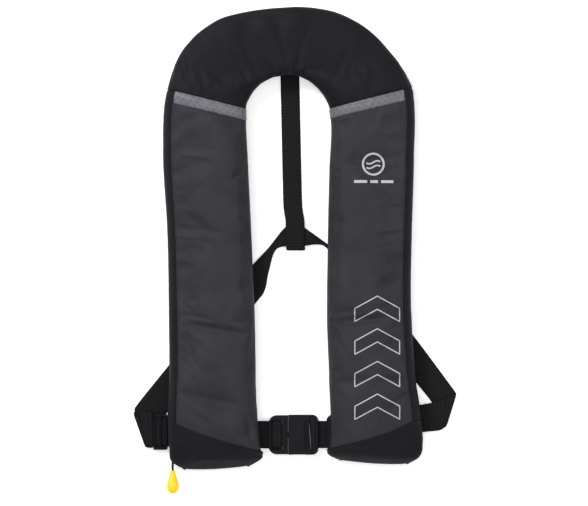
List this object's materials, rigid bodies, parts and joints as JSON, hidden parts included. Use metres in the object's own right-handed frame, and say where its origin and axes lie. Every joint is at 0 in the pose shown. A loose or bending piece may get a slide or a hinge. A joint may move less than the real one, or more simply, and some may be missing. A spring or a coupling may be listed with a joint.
{
  "type": "inflatable life jacket",
  "caption": "Inflatable life jacket packed in a horseshoe cover with opening flaps, reflective tapes, belt with side-release buckle, back strap, gas inflator and pull toggle.",
  "frame": {"origin": "centre of the base of the jacket lying flat on its back, on the surface it lies on", "axes": "+Y up to the collar, +X to the wearer's left, +Z out of the chest"},
  "size_m": [0.4229, 0.6338, 0.0481],
  "materials": {
    "cover_grey": "woven polyester, dark grey",
    "cover_black": "woven polyester, black",
    "reflective_grey": "retro-reflective tape, dull silver",
    "webbing_black": "woven polyester webbing",
    "buckle_plastic": "moulded acetal, dark grey",
    "bladder_yellow": "coated nylon, folded",
    "toggle_yellow": "moulded, glossy yellow",
    "inflator_black": "moulded nylon",
    "cap_yellow": "moulded yellow",
    "clip_green": "moulded green",
    "steel": "zinc plated or stainless",
    "rubber_black": "moulded rubber",
    "whistle_orange": "moulded orange",
    "bobbin_white": "pressed powder in plastic",
    "cord_black": "braided polyester"
  },
  "bodies": {
    "harness": {"cover_back_panel": "cover_black", "collar_lining": "cover_black", "collar_cover": "cover_black", "bladder": "bladder_yellow", "right_loop_strip": "webbing_black", "left_loop_strip": "webbing_black", "inflator_manifold": "rubber_black", "manifold_nut": "inflator_black", "inflator_body": "inflator_black", "lever_pin": "steel", "cylinder_gasket": "rubber_black", "auto_bobbin": "bobbin_white", "oral_tube_flange": "rubber_black", "oral_tube": "rubber_black", "oral_valve_body": "inflator_black", "whistle_eyelet": "steel", "lifting_loop": "webbing_black", "waist_strap": "webbing_black", "right_belt_tunnel": "cover_black", "left_belt_tunnel": "cover_black", "back_strap": "webbing_black", "female_web_bar": "steel", "female_webbing": "webbing_black", "buckle_female": "buckle_plastic"},
    "right_flap": {"right_front_panel": "cover_grey", "right_side_gusset": "cover_black", "right_hem_panel": "cover_black", "right_reflective_tape": "reflective_grey", "right_hook_strip": "webbing_black"},
    "left_flap": {"left_front_panel": "cover_grey", "left_side_gusset": "cover_black", "left_hem_panel": "cover_black", "left_reflective_tape": "reflective_grey", "left_hook_strip": "webbing_black"},
    "lever": {"inflator_lever": "cap_yellow", "safety_clip": "clip_green"},
    "pull_handle": {"pull_toggle": "toggle_yellow", "pull_cord": "cord_black", "cord_knot": "cord_black"},
    "piercer": {"piercing_pin": "steel"},
    "gas_cylinder": {"co2_cylinder": "steel"},
    "automatic_head": {"auto_cap": "cap_yellow"},
    "dust_cap": {"oral_dust_cap": "inflator_black"},
    "oral_valve": {"oral_valve_poppet": "whistle_orange"},
    "whistle": {"whistle": "whistle_orange"},
    "buckle_tongue": {"buckle_male": "buckle_plastic", "male_webbing": "webbing_black"},
    "arm_upper": {"buckle_arm_upper": "buckle_plastic"},
    "arm_lower": {"buckle_arm_lower": "buckle_plastic"},
    "adjuster": {"side_adjuster": "buckle_plastic", "belt_tail": "webbing_black"}
  },
  "joints": [
    {"name": "right_flap_hinge", "type": "hinge", "parent": "harness", "child": "right_flap", "pos_m": [-0.0616, -0.06, 0.0069], "axis": [-0.0373, 0.9993, 0], "range_deg": [0, 28]},
    {"name": "left_flap_hinge", "type": "hinge", "parent": "harness", "child": "left_flap", "pos_m": [0.0512, -0.0575, 0.0069], "axis": [-0.0054, -1, 0], "range_deg": [0, 28]},
    {"name": "cord_pull", "type": "slide", "parent": "harness", "child": "pull_handle", "axis": [0, -1, 0], "range_m": [0, 0.0257]},
    {"name": "lever_turn", "type": "hinge", "parent": "harness", "child": "lever", "pos_m": [-0.1225, -0.19, 0.023], "axis": [0, 0, 1], "range_deg": [0, 80.5]},
    {"name": "piercer_stroke", "type": "slide", "parent": "harness", "child": "piercer", "axis": [0, 1, 0], "range_m": [0, 0.0042]},
    {"name": "cylinder_unscrew", "type": "hinge", "parent": "harness", "child": "gas_cylinder", "pos_m": [-0.1, -0.1, 0.0275], "axis": [0, 1, 0], "continuous": true},
    {"name": "automatic_head_unscrew", "type": "hinge", "parent": "harness", "child": "automatic_head", "pos_m": [-0.1, -0.234, 0.026], "axis": [0, -1, 0], "continuous": true},
    {"name": "dust_cap_pull", "type": "slide", "parent": "harness", "child": "dust_cap", "axis": [0, 1, 0], "range_m": [0, 0.012]},
    {"name": "oral_valve_press", "type": "slide", "parent": "harness", "child": "oral_valve", "axis": [0, -1, 0], "range_m": [0, 0.002], "stiffness_N_per_m": 200},
    {"name": "whistle_swing", "type": "hinge", "parent": "harness", "child": "whistle", "pos_m": [0.069, -0.118, 0.02], "axis": [0, 0, 1], "range_deg": [-15, 15]},
    {"name": "buckle_release", "type": "slide", "parent": "harness", "child": "buckle_tongue", "axis": [-1, 0, 0], "range_m": [0, 0.007]},
    {"name": "arm_upper_flex", "type": "hinge", "parent": "buckle_tongue", "child": "arm_upper", "pos_m": [-0.0085, -0.2375, 0.0055], "axis": [0, 0, 1], "range_deg": [-14.6, 0]},
    {"name": "arm_lower_flex", "type": "hinge", "parent": "buckle_tongue", "child": "arm_lower", "pos_m": [-0.0085, -0.2745, 0.0055], "axis": [0, 0, 1], "range_deg": [0, 14.6]},
    {"name": "adjuster_slide", "type": "slide", "parent": "harness", "child": "adjuster", "axis": [-1, 0, 0], "range_m": [0, 0.006]}
  ],
  "couplings": [
    {"joint": "lever_turn", "follows": "cord_pull", "rad_per_m": 54.329},
    {"joint": "piercer_stroke", "follows": "cord_pull", "ratio": 0.15564},
    {"joint": "arm_upper_flex", "follows": "buckle_release", "rad_per_m": -35.7},
    {"joint": "arm_lower_flex", "follows": "buckle_release", "rad_per_m": 35.7}
  ]
}
